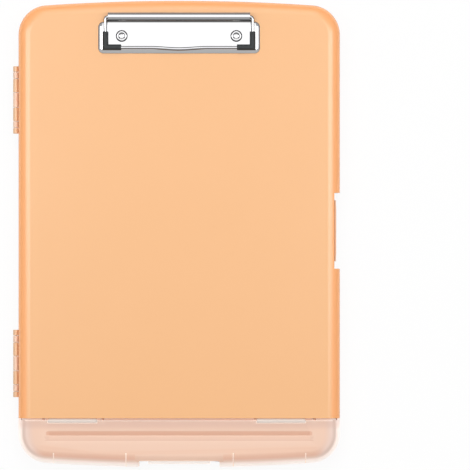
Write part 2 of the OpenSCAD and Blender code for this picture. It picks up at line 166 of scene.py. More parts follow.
RIVET_HOLE_R = 1.2 * MM
RIVET_TAIL_R = 3.2 * MM
RIVET_TAIL_T = 0.7 * MM
RIVET_TAIL_EDGE = 0.35 * MM

FRAME_W = 348.7 * MM  # what the camera sees across
VIEW_X = 41.5 * MM
VIEW_Y = -0.7 * MM
LENS = 300.0
SENSOR = 36.0
FLOOR_HALF = 4.0
FLOOR_T = 0.02
FLOOR_DOWN = 0.2 * MM

ARC_STEPS = 22  # flats of a corner of the plan
BOW_STEPS = 24  # flats of a bowed end
ROUND_STEPS = 20  # flats of a lid's rounded edge
LID_ROUNDING = (LID_ROUND_W, LID_ROUND_H, ROUND_STEPS)
BORDER_STEPS = 12
ROD_SIDES = 40
WIRE_SIDES = 28
LATCH_SIDES = 24
TAPER_STEPS = 8  # flats of the latch flap's thinned ends
BEND_STEPS = 10  # flats of the wire's bends
SLEEVE_SIDES = 32
BAR_STEPS = 60


def corner_of(node, which):
    """The lowest (0) or highest (1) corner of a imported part."""
    return Vector(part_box(node)[which])


def axis_of(name):
    """A point on a joint's axis."""
    return Vector(next(joint for joint in frame["joints"] if joint["name"] == name)["pos_m"])


def middle_of(node, axis):
    """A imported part's middle along X (0) or Y (1)."""
    return (corner_of(node, 0)[axis] + corner_of(node, 1)[axis]) / 2


HALF_W = corner_of("main_lid", 1).x
HALF_L = corner_of("main_lid", 1).y
CASE_H = corner_of("main_lid", 1).z
SEAM_Y = corner_of("main_lid", 0).y
LID_BOTTOM = corner_of("pen_lid", 0).z
TRAY_TOP = LID_BOTTOM - SEAM_GAP
CORNER_X = HALF_W - CORNER_R  # middle of a corner's arc
END_Y = HALF_L - END_R  # middle of the upper end's arc
CORNER_Y = END_Y + sqrt((END_R - CORNER_R) ** 2 - CORNER_X ** 2)
HINGE = axis_of("lid_hinge")
HINGE_R = HINGE.x - corner_of("main_lid", 0).x
PEN_AXIS = axis_of("pen_lid_hinge")
LATCH_AXIS = axis_of("latch_hinge")
BAIL_AXIS = axis_of("bail_hinge")
PEN_KNUCKLE_X = middle_of("right_pen_hinge_pin", 0)
CHANNEL_HALF = HALF_W - CHANNEL_FROM_SIDE
CHANNEL_Y = -HALF_L + CHANNEL_FROM_END
RECESS_X = HALF_W - LATCH_NOTCH_D
LATCH_LOW = corner_of("latch_flap", 0)
LATCH_HIGH = corner_of("latch_flap", 1)
LATCH_HALF = (LATCH_HIGH.y - LATCH_LOW.y) / 2 + POCKET_SIDE
BEAD_Z = LATCH_HIGH.z - LATCH_BEAD_DROP
CLIP_HALF_W = corner_of("clip_plate", 1).x
PLATE_TOP = corner_of("clip_rivets", 1).z - RIVET_HEAD_T
ROLL_HALF = CLIP_HALF_W - ROLL_INSET
ROLL_Y = BAIL_AXIS.y - ROLL_R  # front of the roll and upper edge of the plate
LEG_X = ROLL_HALF + WIRE_BEND_R
BAR_Y = corner_of("clip_wire", 0).y + WIRE_R
RIVET_X = corner_of("clip_rivets", 1).x - RIVET_HEAD_R
RIVET_Y = middle_of("clip_rivets", 1)


# ---------- node trees
def operator(operation, reflected=False):
    """One of a Term's operators, which adds a Math node."""
    def operate(self, other):
        return self.tree.maths(operation, *((other, self) if reflected else (self, other)))
    return operate


class Term:
    """A node's output that takes part in Python arithmetic."""

    def __init__(self, tree, socket):
        self.tree = tree
        self.socket = socket

    __add__ = __radd__ = operator("ADD")
    __sub__ = operator("SUBTRACT")
    __rsub__ = operator("SUBTRACT", reflected=True)
    __mul__ = __rmul__ = operator("MULTIPLY")
    __truediv__ = operator("DIVIDE")

    def __neg__(self):
        return self * -1

    def clamped(self):
        """Kept between 0 and 1."""
        return self.tree.maths("MINIMUM", self.tree.maths("MAXIMUM", self, 0), 1)

    def rise(self, start, end):
        """0 before start, 1 past end, and a smooth step between them. From a higher start it falls."""
        values = {"Value": self, "From Min": start, "From Max": end}
        return self.tree.node("ShaderNodeMapRange", values, {"interpolation_type": "SMOOTHSTEP"})


class Tree:
    """A node tree that is filled in one way: a type, its values and links, and its settings."""

    def __init__(self, nodes):
        self.nodes = nodes

    def node(self, kind, values=None, settings=None, out=0):
        added = self.nodes.nodes.new(kind)
        for name, value in (settings or {}).items():
            if name == "stops":
                self.set_stops(added.color_ramp, value)
            else:
                setattr(added, name, value)
        for name, value in (values or {}).items():
            if isinstance(value, Term):
                self.nodes.links.new(value.socket, added.inputs[name])
            else:
                added.inputs[name].default_value = value
        return Term(self, added.outputs[out]) if added.outputs else added

    def set_stops(self, ramp, stops):
        while len(ramp.elements) < len(stops):
            ramp.elements.new(0)
        for element, (at, colour) in zip(ramp.elements, stops):
            element.position = at
            element.color = colour

    def maths(self, operation, *values):
        return self.node("ShaderNodeMath", dict(enumerate(values)), {"operation": operation})

    def output(self, term, name):
        """Another output of the node that a term comes from."""
        return Term(self, term.socket.node.outputs[name])

    def split(self, vector):
        x = self.node("ShaderNodeSeparateXYZ", {0: vector})
        return x, self.output(x, "Y"), self.output(x, "Z")


class ShapeTree(Tree):
    """A Geometry Nodes tree with named inputs, which ends in Realize Instances and Set Material."""

    def __init__(self, name, sizes):
        super().__init__(bpy.data.node_groups.new(name, "GeometryNodeTree"))
        ports = self.nodes.interface
        ports.new_socket("Geometry", in_out="INPUT", socket_type="NodeSocketGeometry")
        for size, kind in sizes.items():
            ports.new_socket(size, in_out="INPUT", socket_type="NodeSocket" + kind)
        ports.new_socket("Material", in_out="INPUT", socket_type="NodeSocketMaterial")
        ports.new_socket("Geometry", in_out="OUTPUT", socket_type="NodeSocketGeometry")
        self.given = self.node("NodeGroupInput")

    def size(self, name):
        return self.output(self.given, name)

    def path(self):
        return self.node("GeometryNodeMeshToCurve", {"Mesh": self.size("Geometry")})

    def level_path(self):
        """The given lines as curves whose profiles stay upright."""
        return self.node("GeometryNodeSetCurveNormal", {"Curve": self.path()}, {"mode": "Z_UP"})

    def circle(self, radius):
        values = {"Resolution": self.size("Sides"), "Radius": radius}
        return self.node("GeometryNodeCurvePrimitiveCircle", values)

    def sweep(self, path, profile, **more):
        values = {"Curve": path, "Profile Curve": profile, **more}
        return self.node("GeometryNodeCurveToMesh", values)

    def finish(self, geometry):
        whole = self.node("GeometryNodeRealizeInstances", {"Geometry": geometry})
        values = {"Geometry": whole, "Material": self.size("Material")}
        self.node("NodeGroupOutput", {"Geometry": self.node("GeometryNodeSetMaterial", values)})
        return self.nodes


def rounded_solid_tree():
    """Sweeps a wall with one rounded edge around a plan. k counts the profile's points from the rim."""
    names = ["Inset", "Rim", "Face", "Round Width", "Round Height", "Start"]
    tree = ShapeTree("rounded_solid", {**dict.fromkeys(names, "Float"), "Steps": "Int"})
    inset, rim, face, round_w, round_h, start = [tree.size(name) for name in names]
    steps = tree.size("Steps")
    k = tree.node("GeometryNodeInputIndex")
    angle = start + (pi / 2 - start) * ((k - 1) / steps).clamped()
    past_rim = k.clamped()
    side = tree.maths("SIGN", face - rim)
    out = tree.maths("COSINE", start) - tree.maths("COSINE", angle)
    reach = inset + round_w * out * past_rim
    rounded_z = face - side * round_h * (1 - tree.maths("SINE", angle))
    height = rim + (rounded_z - rim) * past_rim
    line = tree.node("GeometryNodeCurvePrimitiveLine")
    profile = tree.node("GeometryNodeResampleCurve", {"Curve": line, "Count": steps + 2})
    place = tree.node("ShaderNodeCombineXYZ", {"X": -reach, "Y": -height})
    profile = tree.node("GeometryNodeSetPosition", {"Geometry": profile, "Position": place})
    return tree.finish(tree.sweep(tree.level_path(), profile))


def round_rod_tree():
    """Round bar along each of its centre lines, as thick at a point as that point's radius says."""
    tree = ShapeTree("round_rod", {"Sides": "Int"})
    radius = tree.node("GeometryNodeInputNamedAttribute", {"Name": "radius"}, {"data_type": "FLOAT"})
    return tree.finish(tree.sweep(tree.path(), tree.circle(1.0), **{"Scale": radius, "Fill Caps": True}))


def hinge_tree():
    """Knuckles with their flat arms: each edge given is the axis of one knuckle."""
    names = ["Radius", "Reach", "Low", "High"]
    tree = ShapeTree("hinge_knuckles", {**dict.fromkeys(names, "Float"), "Sides": "Int"})
    radius, reach, low, high = [tree.size(name) for name in names]
    path = tree.level_path()
    thick = high - low
    arm = tree.node("GeometryNodeCurvePrimitiveQuadrilateral", {"Width": reach, "Height": thick})
    middle = tree.node("ShaderNodeCombineXYZ", {"X": reach / 2, "Y": -(low + thick / 2)})
    arm = tree.node("GeometryNodeSetPosition", {"Geometry": arm, "Offset": middle})
    join = tree.node("GeometryNodeJoinGeometry")
    for profile in (tree.circle(radius), arm):
        swept = tree.sweep(path, profile, **{"Fill Caps": True})
        tree.nodes.links.new(swept.socket, join.socket.node.inputs[0])
    return tree.finish(join)


def copies_tree():
    """Copies of one form, one on each point given."""
    tree = ShapeTree("copies_on_points", {"Form": "Object"})
    form = tree.node("GeometryNodeObjectInfo", {"Object": tree.size("Form")})
    points = tree.node("GeometryNodeMeshToPoints", {"Mesh": tree.size("Geometry")})
    values = {"Points": points, "Instance": tree.output(form, "Geometry")}
    return tree.finish(tree.node("GeometryNodeInstanceOnPoints", values))


# ---------- meshes
def spread(first, last, steps):
    """Evenly spaced numbers from first to last, both included."""
    return [first + (last - first) * i / steps for i in range(steps + 1)]


def piece_of(name, mesh, material=None):
    piece = bpy.data.objects.new(name, mesh)
    bpy.context.scene.collection.objects.link(piece)
    if material:
        mesh.materials.append(material)
    return piece


def mesh_of(name, points, edges=(), faces=()):
    mesh = bpy.data.meshes.new(name)
    mesh.from_pydata(points, edges, faces)
    return mesh


def loop_of(name, plan, z=0):
    """A closed line through the points of a plan."""
    count = len(plan)
    sides = [(i, (i + 1) % count) for i in range(count)]
    return piece_of(name, mesh_of(name, [(x, y, z) for x, y in plan], sides))


def note(mesh, name, values):
    """Keeps one number for every point of a mesh."""
    mesh.attributes.new(name, "FLOAT", "POINT").data.foreach_set("value", values)


def tube_faces(rows, count):
    """Faces between rows of points, each row a ring of count points."""
    return [
        (k * count + i, k * count + (i + 1) % count, (k + 1) * count + (i + 1) % count, (k + 1) * count + i)
        for k in range(rows - 1) for i in range(count)
    ]


def settle(piece):
    """Turns what a piece's modifiers show into its plain mesh."""
    graph = bpy.context.evaluated_depsgraph_get()
    shown = piece.evaluated_get(graph)
    mesh = bpy.data.meshes.new_from_object(shown, preserve_all_data_layers=True, depsgraph=graph)
    piece.modifiers.clear()
    piece.data = mesh
    return piece


def grow(piece, tree, sizes, material):
    """Runs a shape tree on a piece and keeps the result."""
    modifier = piece.modifiers.new("shape", "NODES")
    modifier.node_group = tree
    given = dict(sizes, Material=material)
    for port in tree.interface.items_tree:
        if port.in_out == "INPUT" and port.name in given:
            modifier[port.identifier] = given[port.name]
    return settle(piece)


def reshape(piece, change):
    """Runs a change on a piece's mesh through bmesh."""
    form = bmesh.new()
    form.from_mesh(piece.data)
    change(form)
    form.to_mesh(piece.data)
    form.free()
    return piece


def close(form):
    """Merges doubled points, closes open ends and points every face outwards."""
    bmesh.ops.remove_doubles(form, verts=form.verts, dist=0.001 * MM)
    bmesh.ops.holes_fill(form, edges=[edge for edge in form.edges if edge.is_boundary], sides=0)
    bmesh.ops.recalc_face_normals(form, faces=form.faces)


def rounded_solid(name, plan, material, inset, rim, face, round_w=0.0, round_h=0.0, steps=1, start=0.0):
    """A closed solid on a plan; its edge is an elliptical arc from the angle start, 0 for an upright wall."""
    sizes = {"Inset": inset, "Rim": rim, "Face": face, "Round Width": round_w, "Round Height": round_h}
    sizes.update({"Start": start, "Steps": steps})
    return reshape(grow(loop_of(name, plan), ROUNDED_SOLID, sizes, material), close)


def rods(name, lines, material, sides=ROD_SIDES):
    """Round bars; each line is a list of (point, radius)."""
    points = []
    edges = []
    radii = []
    for line in lines:
        edges += [(len(points) + i, len(points) + i + 1) for i in range(len(line) - 1)]
        points += [point for point, radius in line]
        radii += [radius for point, radius in line]
    mesh = mesh_of(name, points, edges)
    note(mesh, "radius", radii)
    return reshape(grow(piece_of(name, mesh), ROUND_ROD, {"Sides": sides}, material), close)


def rod(start, end, radius, chamfer=SOFT_EDGE):
    """The line of a straight bar with chamfered ends."""
    start = Vector(start)
    end = Vector(end)
    step = (end - start).normalized() * chamfer
    thin = radius - chamfer
    return [(start, thin), (start + step, radius), (end - step, radius), (end, thin)]


def block(name, low, high, material=None):
    """A box between two opposite corners."""
    points = [(x, y, z) for x in (low[0], high[0]) for y in (low[1], high[1]) for z in (low[2], high[2])]
    faces = [(0, 1, 3, 2), (4, 6, 7, 5), (0, 4, 5, 1), (2, 3, 7, 6), (0, 2, 6, 4), (1, 5, 7, 3)]
    return piece_of(name, mesh_of(name, points, faces=faces), material)


def column(name, plan, low, high, material=None):
    """An upright solid on a plan whose points run counter-clockwise."""
    count = len(plan)
    points = [(x, y, z) for z in (low, high) for x, y in plan]
    ends = [tuple(range(count))[::-1], tuple(range(count, 2 * count))]
    return piece_of(name, mesh_of(name, points, faces=tube_faces(2, count) + ends), material)


def turned(name, profile, material, sides=ROD_SIDES):
    """A form turned around Z; its profile of (radius, z) runs outside upwards and closes on itself."""
    count = len(profile)
    turns = spread(0, 2 * pi, sides)
    points = [(r * cos(a), r * sin(a), z) for a in turns for r, z in profile]
    faces = [face[::-1] for face in tube_faces(sides + 1, count)]
    return reshape(piece_of(name, mesh_of(name, points, faces=faces), material), close)


def cut(piece, *tools):
    """Takes the space of each tool away from a piece."""
    for tool in tools:
        modifier = piece.modifiers.new("cut", "BOOLEAN")
        modifier.operation = "DIFFERENCE"
        modifier.solver = "EXACT"
        modifier.object = tool
        settle(piece)
        bpy.data.objects.remove(tool)
    return piece


def joined(name, pieces):
    form = bmesh.new()
    for piece in pieces:
        form.from_mesh(piece.data)
    mesh = bpy.data.meshes.new(name)
    form.to_mesh(mesh)
    form.free()
    mesh.materials.append(pieces[0].data.materials[0])
    for piece in pieces:
        bpy.data.objects.remove(piece)
    return piece_of(name, mesh)


def soften(piece, width, wear_and_glow=None, angle=32, segments=2):
    """Bevels the sharp edges and gives them the given edge material: worn peach on the peach shells, and
    frosted edges with a painted glow on the frosted ones. It also shades the piece smoothly.
    """
    bevel = piece.modifiers.new("edges", "BEVEL")
    bevel.width = width
    bevel.segments = segments
    bevel.limit_method = "ANGLE"
    bevel.angle_limit = radians(angle)
    bevel.use_clamp_overlap = False
    if wear_and_glow:
        piece.data.materials.append(wear_and_glow)
        bevel.material = 1
    smooth(settle(piece))
    piece.modifiers.new("shading", "WEIGHTED_NORMAL").keep_sharp = True
    return settle(piece)


def smooth(piece):
    piece.data.polygons.foreach_set("use_smooth", [True] * len(piece.data.polygons))
    return piece


def plan_of_case():
    """The case's plan, counter-clockwise: four corner arcs and two bowed ends."""
    meet = atan2(CORNER_Y - END_Y, CORNER_X)
    corner = around(CORNER_X, CORNER_Y, CORNER_R, 0, meet, ARC_STEPS)
    bow = around(0, END_Y, END_R, meet, pi - meet, BOW_STEPS)
    half = corner + bow[1:-1] + [(-x, y) for x, y in reversed(corner)]
    return half + [(-x, -y) for x, y in half]


def around(middle_x, middle_y, radius, first, last, steps):
    """Points on an arc between two angles, counted from the first axis towards the second."""
    turns = spread(first, last, steps)
    return [(middle_x + radius * cos(a), middle_y + radius * sin(a)) for a in turns]


def inset_at(x, y):
    """How far inside the case's plan a place lies."""
    x = abs(x)
    y = abs(y)
    if x > CORNER_X and y > CORNER_Y:
        return CORNER_R - hypot(x - CORNER_X, y - CORNER_Y)
    return min(HALF_W - x, END_R - hypot(x, y - END_Y))


# ---------- finishes
class Finish(Tree):
    """A material with a Principled shader."""

    def __init__(self, name, **constants):
        self.material = bpy.data.materials.new(name)
        self.material.use_nodes = True
        super().__init__(self.material.node_tree)
        self.shader = self.nodes.nodes["Principled BSDF"]
        self.place = self.output(self.node("ShaderNodeTexCoord"), "Object")
        for socket, value in constants.items():
            self.shader.inputs[socket.replace("_", " ")].default_value = value

    def feed(self, socket, term):
        self.nodes.links.new(term.socket, self.shader.inputs[socket])

    def noise(self, size, detail=2.0, stretch=(1, 1, 1)):
        """Smooth noise whose lumps are about size metres across."""
        place = self.node("ShaderNodeMapping", {"Vector": self.place, "Scale": stretch})
        return self.node("ShaderNodeTexNoise", {"Vector": place, "Scale": 1 / size, "Detail": detail})

    def blend(self, factor, first, second):
        values = {"Factor": factor, 6: first, 7: second}
        return self.node("ShaderNodeMix", values, {"data_type": "RGBA"}, 2)

    def ramp(self, factor, *stops):
        """A colour ramp over stops of (place, colour)."""
        return self.node("ShaderNodeValToRGB", {"Fac": factor}, {"stops": stops})

    def bump(self, height, depth, strength):
        values = {"Height": height, "Distance": depth, "Strength": strength}
        self.feed("Normal", self.node("ShaderNodeBump", values))


def srgb(red, green, blue):
    """A colour as it looks on a screen, from 0 to 255, in linear light."""
    def linear(value):
        value = value / 255
        return value / 12.92 if value <= 0.04045 else ((value + 0.055) / 1.055) ** 2.4
    return (linear(red), linear(green), linear(blue), 1.0)


def grey(level):
    return (level, level, level, 1)


def peach_finish(name, light, dark, rough, rounding=None):
    """Satin moulded plastic: faint clouds, fine grain and rubbed patches. A lid's rounded edge may take a
    deeper colour than its flat top, which is painted light and shade.
    """
    finish = Finish(name, IOR=1.75)
    clouds = finish.noise(60 * MM)
    grain = finish.noise(0.45 * MM, 3.0)
    rubbed = finish.noise(18 * MM, 4.0).rise(0.5, 0.8)
    colour = finish.blend(clouds, dark, light)
    if rounding:
        x, y, z = finish.split(finish.place)
        # painted light and shade: the rounded edge below the flat top gets a deeper colour than the top
        colour = finish.blend(z.rise(CASE_H - 0.05 * MM, CASE_H - 0.8 * MM), colour, rounding)
    finish.feed("Base Color", colour)
    finish.feed("Roughness", rough + 0.04 * (grain - 0.5) - 0.015 * rubbed)
    finish.bump(grain, 0.02 * MM, 0.35)
    return finish.material


def frosted_finish():
    """Frosted see-through plastic, cloudier and whiter towards its rim, partly from its thicker wall and
    partly painted light, with painted shade in and around the channel and a painted glow.
    """
    # painted glow: the frosted plastic is given an emission of constant strength
    finish = Finish("frosted_polypropylene", IOR=1.48, Emission_Strength=0.3)
    inset = finish.output(finish.node("ShaderNodeAttribute", settings={"attribute_name": "inset"}), "Fac")
    rim = inset / (12 * MM)
    grain = finish.noise(0.5 * MM, 3.0)
    clouds = finish.noise(35 * MM)
    # painted shade: the tan band a few millimetres inside the rim stands in for the inner walls' shade seen
    # through the lid
    inner = (1.0, srgb(255, 225, 202))
    at_end = finish.ramp(
        rim, (0.0, srgb(255, 253, 250)), (0.22, srgb(255, 247, 241)), (0.36, srgb(240, 215, 199)),
        (0.5, srgb(238, 196, 173)), (0.62, srgb(242, 202, 178)), (0.85, srgb(255, 222, 197)), inner)
    at_side = finish.ramp(
        rim, (0.0, srgb(255, 252, 249)), (0.2, srgb(254, 243, 236)), (0.31, srgb(216, 199, 189)),
        (0.4, srgb(230, 211, 200)), (0.52, srgb(250, 231, 220)), (0.8, srgb(252, 226, 208)), inner)
    # painted shade: the lower end's ramp is darker than the sides' because that end faces away from the light
    x, y, z = finish.split(finish.place)
    across_x = finish.maths("ABSOLUTE", x)
    colour = finish.blend(across_x.rise(HALF_W - 20 * MM, HALF_W - 8 * MM), at_end, at_side)

    # painted shade: the channel's upper slope, its lower half, a line along its lower edge and the band
    # behind it towards the hinge are darkened
    channel_low = CHANNEL_Y - CHANNEL_W / 2
    channel_high = CHANNEL_Y + CHANNEL_W / 2
    sunk = (CASE_H - z).rise(0, 0.1 * MM) * rim.rise(0.95, 1.0)
    upper = sunk * y.rise(CHANNEL_Y - 0.2 * MM, CHANNEL_Y + 0.6 * MM)
    upper = upper * (1 - across_x.rise(CHANNEL_HALF - 2 * MM, CHANNEL_HALF - MM))
    lower = sunk * (1 - y.rise(CHANNEL_Y - MM, CHANNEL_Y - 0.2 * MM))
    edge = y.rise(channel_low - 0.5 * MM, channel_low) * (1 - y.rise(channel_low, channel_low + 0.5 * MM))
    edge = edge * (1 - across_x.rise(CHANNEL_HALF - MM, CHANNEL_HALF))
    behind = y.rise(channel_high, channel_high + 5 * MM)
    # clouds is the plastic's own uneven tone; the other four are painted shade
    shades = [
        (clouds * 0.3, srgb(255, 221, 198)), (behind * 0.45, srgb(228, 196, 182)),
        (edge * 0.45, srgb(224, 176, 150)), (lower * 0.3, srgb(232, 196, 176)),
        (upper * 0.5, srgb(232, 172, 141)),
    ]
    for amount, shade in shades:
        colour = finish.blend(amount, colour, shade)
    finish.feed("Base Color", colour)
    covers = ((0.0, 0.95), (0.2, 0.9), (0.5, 0.76), (0.72, 0.7), (1.0, 0.7))
    cover = finish.ramp(rim, *[(at, grey(level)) for at, level in covers])
    # painted glow: the emission is near white at the rim and faint red further inside
    painted_glow = finish.blend((1 - rim / 0.36).clamped(), srgb(80, 25, 20), srgb(255, 238, 228))
    finish.feed("Emission Color", painted_glow)
    finish.feed("Alpha", cover + 0.03 * (grain - 0.5))
    finish.feed("Roughness", 0.42 + 0.06 * (grain - 0.5))
    finish.bump(grain, 0.02 * MM, 0.4)
    return finish.material


def frosted_trim_finish(name, light, dark, painted_glow, strength, cover, rough, vary):
    """Frosted plastic where it is cut or thin, with a painted glow from its emission; vary is how far its
    grain shows.
    """
    finish = Finish(name, IOR=1.48, Emission_Strength=strength, Emission_Color=painted_glow)
    grain = finish.noise(0.5 * MM, 3.0)
    finish.feed("Base Color", finish.blend(grain, light, dark))
    finish.feed("Alpha", cover + vary * (grain - 0.5))
    finish.feed("Roughness", rough + vary * (grain - 0.5))
    finish.bump(grain, 0.02 * MM, 0.3)
    return finish.material


def metal_finish(name, light, dark, rough, brush, *bands):
    """Plated or drawn metal with faint brush lines. A band is an axis, a start, an end and its colour; the
    bands paint shade and reflection.
    """
    finish = Finish(name, Metallic=1.0)
    lines = finish.noise(0.25 * MM, 2.0, brush)
    haze = finish.noise(9 * MM, 3.0)
    colour = finish.blend(haze, dark, light)
    for axis, start, end, shade in bands:
        place = finish.split(finish.place)["XYZ".index(axis)]
        colour = finish.blend(place.rise(start, end), colour, shade)
    finish.feed("Base Color", colour)
    finish.feed("Roughness", rough + rough * 0.8 * (haze - 0.5) + rough * 0.5 * (lines - 0.5))
    finish.bump(lines, 0.004 * MM, 0.15)
    return finish.material


def clip_finish():
    """Nickel of the plate, with painted shade under the roll, a darker and browner painted reflection on the
    roll's back, and a painted white reflection along the lower border.
    """
    back_y = BAIL_AXIS.y + 0.5 * ROLL_R
    border_y = ROLL_Y - PLATE_L + PLATE_BORDER
    # painted shade and reflection: each band recolours the metal along Y
    return metal_finish(
        "clip_nickel", *NICKEL,
        ("Y", ROLL_Y - 0.8 * MM, ROLL_Y - 0.5 * MM, (0.42, 0.41, 0.4, 1)),
        ("Y", ROLL_Y + 0.8 * MM, ROLL_Y + 1.1 * MM, (0.76, 0.76, 0.775, 1)),
        ("Y", back_y, back_y + 0.25 * ROLL_R, (0.42, 0.35, 0.31, 1)),
        ("Y", border_y, border_y - 0.2 * PLATE_BORDER, grey(1)))


def wire_finish():
    """Nickel of the wire, with painted shade on its flanks, so that only its top keeps the bright colour."""
    top_z = BAIL_AXIS.z + 0.9 * WIRE_R
    return metal_finish("wire_nickel", *NICKEL, ("Z", top_z, top_z - 0.18 * WIRE_R, (0.22, 0.22, 0.23, 1)))


def rubber_finish():
    """Matte vinyl: a fine grain and paler scuffs."""
    finish = Finish("black_vinyl", IOR=1.5)
    grain = finish.noise(0.3 * MM, 4.0)
    scuffs = finish.noise(2.5 * MM, 5.0).rise(0.55, 0.75)
    finish.feed("Base Color", finish.blend(scuffs * 0.5, srgb(50, 53, 54), srgb(84, 84, 80)))
    finish.feed("Roughness", 0.62 + 0.12 * (grain - 0.5))
    finish.bump(grain, 0.06 * MM, 0.5)
    return finish.material


# ---------- the case
def past_side(name, half, x_from, z_low, z_high):
    """A box at the latch that reaches out through the case's right side."""
    y = LATCH_AXIS.y
    return block(name, (x_from, y - half, z_low), (HALF_W + PAST, y + half, z_high))


def latch_notch(more):
    half = LATCH_NOTCH_L / 2 + more
    return past_side("latch_notch", half, RECESS_X - more, -PAST, CASE_H + PAST)


def latch_pocket(more, ends):
    low_x = LATCH_AXIS.x - LATCH_BARREL_R - BITE - more
    top = LATCH_AXIS.z + LATCH_BARREL_R + POCKET_ROOM + more
    return past_side("latch_pocket", LATCH_HALF + ends, low_x, -PAST, top)


def finger_notch(more):
    half = FINGER_NOTCH_W / 2 + more
    low_y = -HALF_L - FINGER_NOTCH_D
    high_y = -HALF_L + FINGER_NOTCH_D + more
    plan = rounded_rectangle(half, low_y, high_y, NOTCH_CORNER_R + more)
    return column("finger_notch", plan, -PAST, CASE_H + PAST)


def across(name, y_low, y_high, z_low=-PAST):
    """A box over the case's whole width."""
    return block(name, (-HALF_W - PAST, y_low, z_low), (HALF_W + PAST, y_high, CASE_H + PAST))


def make_tray(plan):
    tray = rounded_solid("tray_shell", plan, PEACH, 0.0, TRAY_TOP, 0.0, TRAY_ROUND, TRAY_ROUND, ROUND_STEPS)
    inner = (TRAY_ROUND - WALL, TRAY_ROUND - PLATE_T)
    hollow = rounded_solid("hollow", plan, PEACH, WALL, TRAY_TOP + PAST, PLATE_T, *inner, ROUND_STEPS)
    cut(hollow, across("bulkhead", SEAM_Y, SEAM_Y + WALL), latch_notch(WALL),
        latch_pocket(WALL, LATCH_SEAT + WALL), finger_notch(WALL))
    cut(tray, hollow, latch_notch(0), latch_pocket(0, 0), finger_notch(0))
    return soften(tray, SOFT_EDGE, PEACH_WORN)


def make_tongue(plan):
    """The rim that rises from the tray inside the main lid's wall, and its root in the tray's wall."""
    root = (WALL - BITE, TRAY_TOP - TONGUE_H - TONGUE_T, TRAY_TOP - SEAM_GAP)
    rim = (WALL + TONGUE_FIT, TRAY_TOP - PAST, TRAY_TOP + TONGUE_H)
    rings = []
    for outer, low, high in (root, rim):
        ring = rounded_solid("ring", plan, PEACH, outer, low, high)
        inside = rounded_solid("inside", plan, PEACH, WALL + TONGUE_FIT + TONGUE_T, low - PAST, high + PAST)
        ends = across("end", -HALF_L - PAST, SEAM_Y + WALL + TONGUE_FIT)
        rings.append(cut(ring, inside, latch_notch(WALL + TONGUE_T), ends))
    return soften(joined("tray_tongue", rings), THIN_EDGE, segments=1)


def knuckle_lines(first):
    """Axes of the knuckles that belong to the lid (first = 0) or to the tray (first = 1)."""
    points = []
    for pin in ("upper_hinge_pin", "lower_hinge_pin"):
        at = middle_of(pin, 1) - sum(KNUCKLE_LS) / 2
        for i, length in enumerate(KNUCKLE_LS):
            if i % 2 == first:
                ends = (at + KNUCKLE_GAP / 2, at + length - KNUCKLE_GAP / 2)
                points += [(HINGE.x, y, HINGE.z) for y in ends]
            at += length
    return mesh_of("knuckles", points, [(i, i + 1) for i in range(0, len(points), 2)])


def make_knuckles(name, first, low, high, material):
    """Every second knuckle of both side hinges; low and high bound their arms, from the axis."""
    reach = BITE - HALF_W - HINGE.x
    sizes = {"Radius": HINGE_R, "Reach": reach, "Low": low, "High": high, "Sides": ROD_SIDES}
    knuckles = grow(piece_of(name, knuckle_lines(first)), HINGE_KNUCKLES, sizes, material)
    return soften(reshape(knuckles, close), SMALL_EDGE, material)


def lid_forms(name, plan, material, top_t):
    """A lid's outer form and its hollow, as two solids."""
    lid = rounded_solid(name, plan, material, 0.0, LID_BOTTOM, CASE_H, *LID_ROUNDING)
    rounding = (LID_ROUND_W - WALL, LID_ROUND_H - top_t, ROUND_STEPS)
    return lid, rounded_solid("hollow", plan, material, WALL, LID_BOTTOM - PAST, CASE_H - top_t, *rounding)


def make_main_lid(plan):
    lid, hollow = lid_forms("lid_shell", plan, PEACH_LID, PLATE_T)
    cut(hollow, across("end_wall", -HALF_L - PAST, SEAM_Y + WALL), latch_notch(WALL))
    heights = (BEAD_Z - LATCH_BEAD_R, BEAD_Z + LATCH_BEAD_R)
    catch = past_side("catch", LATCH_HALF, RECESS_X - BITE, *heights)
    cut(lid, hollow, across("seam", -HALF_L - PAST, SEAM_Y), latch_notch(0), catch)
    return soften(lid, SOFT_EDGE, PEACH_WORN)


def stadium(half_l, radius, y_middle, steps=16):
    """A plan with two straight sides along X and round ends, counter-clockwise."""
    right = around(half_l - radius, 0, radius, -pi / 2, pi / 2, steps)
    return [(x, y_middle + y) for x, y in right] + [(-x, y_middle - y) for x, y in right]


def hinge_rooms(bar_y, post_y, post_gap, post_top):
    """Boxes that keep a form of the pen lid clear of the grey bars and of the posts."""
    rooms = []
    for side in (-1, 1):
        reach = PEN_BAR_L / 2 + POST_GAP
        bar = side * PEN_KNUCKLE_X + PEN_BAR_SHIFTS[side]
        rooms.append(block("bar_room", (bar - reach, bar_y, -PAST), (bar + reach, 0, CASE_H + PAST)))
        for post in post_places(side):
            half = POST_T / 2 + post_gap
            rooms.append(block("post_room", (post - half, post_y, -PAST), (post + half, 0, post_top)))
    return rooms


def post_places(side):
    reach = PEN_KNUCKLE_L / 2 + POST_GAP + POST_T / 2
    return [side * PEN_KNUCKLE_X + end * reach for end in (-1, 1)]


